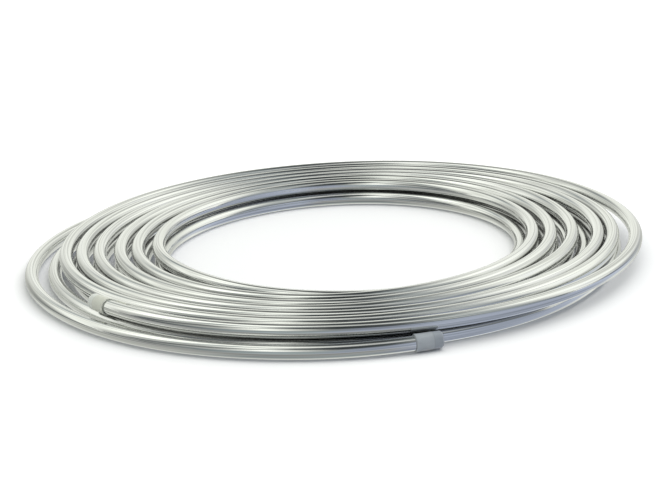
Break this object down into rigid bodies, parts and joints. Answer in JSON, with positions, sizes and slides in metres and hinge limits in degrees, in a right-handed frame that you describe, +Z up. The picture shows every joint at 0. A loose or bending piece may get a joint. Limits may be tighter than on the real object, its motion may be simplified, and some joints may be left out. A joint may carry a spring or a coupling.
{
  "type": "aluminum tube coil",
  "caption": "Flat two-layer coil of round bright aluminum tube with an open eye, loose outer turns and a translucent push-on cap on each free end.",
  "frame": {"origin": "on the axis of the coil's eye, on the plane that the lower layer lies on", "axes": "+Z up, along the axis of the eye; -Y towards the side where both capped ends are; +X to the right of it"},
  "size_m": [0.4434, 0.4286, 0.0215],
  "materials": {
    "bare_aluminum": "bright drawn, with fine streaks along the tube",
    "clear_vinyl": "milky translucent, soft gloss"
  },
  "bodies": {
    "root": {"coiled_tube": "bare_aluminum", "end_cap_upper": "clear_vinyl", "end_cap_lower": "clear_vinyl"}
  },
  "joints": []
}
